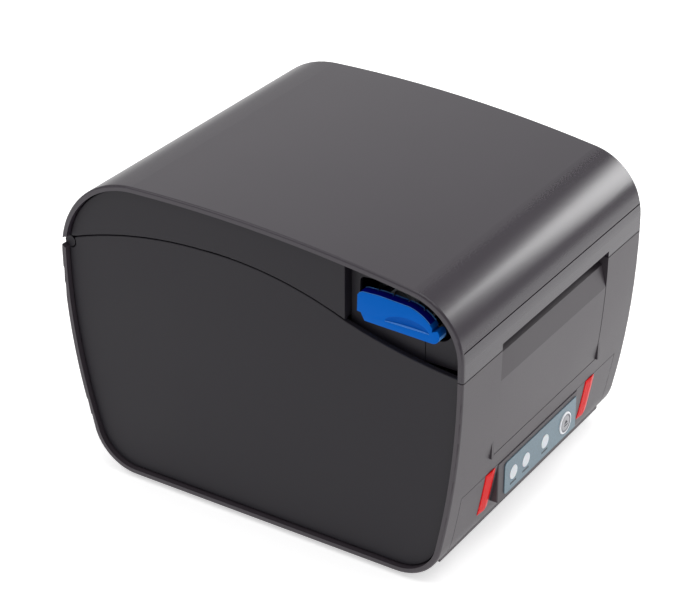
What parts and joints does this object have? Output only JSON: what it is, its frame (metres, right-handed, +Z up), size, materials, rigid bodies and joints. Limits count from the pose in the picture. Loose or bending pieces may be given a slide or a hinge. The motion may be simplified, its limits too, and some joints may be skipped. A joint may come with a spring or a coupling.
{
  "type": "receipt printer",
  "caption": "Thermal receipt printer with a back-hinged cover, front paper exit, side release lever and a lit control strip.",
  "frame": {"origin": "on the standing surface, under the middle of the printer", "axes": "+X to the right, +Y to the back, +Z up; the paper exit faces -Y"},
  "size_m": [0.145, 0.184, 0.1351],
  "materials": {
    "cover_satin": "satin black moulded plastic with a fine texture",
    "side_black": "dark satin moulded plastic, fine texture",
    "front_grey": "matt charcoal moulded plastic",
    "inner_black": "plain black moulded plastic",
    "lever_blue": "semi-gloss blue moulded plastic",
    "alarm_red": "glossy red lens",
    "label_film": "blue-grey printed overlay film",
    "window_white": "translucent white lens",
    "button_grey": "grey moulded plastic",
    "ring_white": "white moulded ring",
    "circuit_green": "solder-masked circuit board",
    "sheet_steel": "zinc-plated sheet steel",
    "bright_steel": "ground steel",
    "screw_steel": "blackened steel",
    "heat_aluminium": "extruded aluminium",
    "head_ceramic": "glazed ceramic substrate",
    "platen_rubber": "ground silicone rubber",
    "foot_rubber": "moulded rubber",
    "gear_nylon": "natural acetal",
    "port_metal": "tinned connector shell",
    "port_plastic": "black connector moulding",
    "flex_amber": "polyimide flat cable"
  },
  "bodies": {
    "root": {"base_shell": "front_grey", "base_left_panel": "side_black", "base_right_panel": "side_black", "bottom_plate": "sheet_steel", "rubber_feet": "foot_rubber", "base_screws": "screw_steel", "chute_panel": "front_grey", "light_panel": "front_grey", "alarm_lens_left": "alarm_red", "alarm_lens_right": "alarm_red", "control_pod": "front_grey", "control_label": "label_film", "led_windows": "window_white", "button_ring": "ring_white", "control_board": "circuit_green", "tact_switch": "port_plastic", "recess_wall": "side_black", "mechanism_frame": "sheet_steel", "head_bracket": "sheet_steel", "heat_sink": "heat_aluminium", "thermal_head": "head_ceramic", "head_springs": "bright_steel", "idler_pin": "bright_steel", "stepper_motor": "sheet_steel", "cutter_motor": "sheet_steel", "cutter_frame": "sheet_steel", "paper_bucket": "inner_black", "paper_sensor": "port_plastic", "main_board": "circuit_green", "rear_panel": "inner_black", "power_jack": "port_metal", "lan_port": "port_metal", "usb_port": "port_metal", "drawer_port": "port_plastic", "switch_bezel": "port_plastic", "buzzer": "port_plastic", "flat_flex": "flex_amber", "hinge_pin": "bright_steel"},
    "cover": {"cover_shell": "cover_satin", "cover_front_lip": "front_grey", "cover_left_side": "side_black", "cover_right_side": "side_black", "cover_recess_wall": "side_black", "cover_liner": "inner_black", "platen_bracket": "sheet_steel", "cover_screws": "screw_steel", "fixed_blade": "bright_steel", "platen_bushes": "gear_nylon"},
    "platen": {"platen_roller": "platen_rubber", "platen_shaft": "bright_steel", "platen_gear": "gear_nylon"},
    "lever": {"lever_handle": "lever_blue", "lever_shaft": "bright_steel", "latch_hooks": "bright_steel"},
    "feed_button": {"feed_button": "button_grey"},
    "power_rocker": {"power_rocker": "port_plastic"},
    "idler_gear": {"idler_gear": "gear_nylon"},
    "motor_pinion": {"motor_pinion": "bright_steel"},
    "cutter_blade": {"cutter_blade": "bright_steel"},
    "cutter_pinion": {"cutter_pinion": "bright_steel"}
  },
  "joints": [
    {"name": "cover_hinge", "type": "hinge", "parent": "root", "child": "cover", "pos_m": [0, 0.0889, 0.1016], "axis": [-1, 0, 0], "range_deg": [0, 60]},
    {"name": "platen_spin", "type": "hinge", "parent": "cover", "child": "platen", "pos_m": [0, -0.068, 0.103], "axis": [1, 0, 0], "continuous": true},
    {"name": "idler_spin", "type": "hinge", "parent": "root", "child": "idler_gear", "pos_m": [0.055, -0.06153, 0.0831], "axis": [1, 0, 0], "continuous": true},
    {"name": "motor_spin", "type": "hinge", "parent": "root", "child": "motor_pinion", "pos_m": [0.055, -0.04478, 0.08075], "axis": [1, 0, 0], "continuous": true},
    {"name": "release_lever", "type": "hinge", "parent": "root", "child": "lever", "pos_m": [-0.06, -0.0525, 0.1154], "axis": [1, 0, 0], "range_deg": [0, 12], "stiffness_Nm_per_rad": 0.25, "springref_deg": -8.59},
    {"name": "feed_press", "type": "slide", "parent": "root", "child": "feed_button", "axis": [0, 1, 0], "range_m": [0, 0.0006], "stiffness_N_per_m": 900, "springref_m": -0.0002},
    {"name": "power_switch", "type": "hinge", "parent": "root", "child": "power_rocker", "pos_m": [-0.043, 0.0775, 0.04], "axis": [1, 0, 0], "range_deg": [0, 13.5]},
    {"name": "cutter_stroke", "type": "slide", "parent": "root", "child": "cutter_blade", "axis": [0, 0, 1], "range_m": [0, 0.005]},
    {"name": "cutter_drive", "type": "hinge", "parent": "root", "child": "cutter_pinion", "pos_m": [-0.01, -0.08, 0.074], "axis": [0, 1, 0], "range_deg": [0, 59.69]}
  ],
  "couplings": [
    {"joint": "idler_spin", "follows": "platen_spin", "ratio": -0.73333},
    {"joint": "motor_spin", "follows": "platen_spin", "ratio": 1.8333},
    {"joint": "cutter_drive", "follows": "cutter_stroke", "rad_per_m": 208.33}
  ]
}
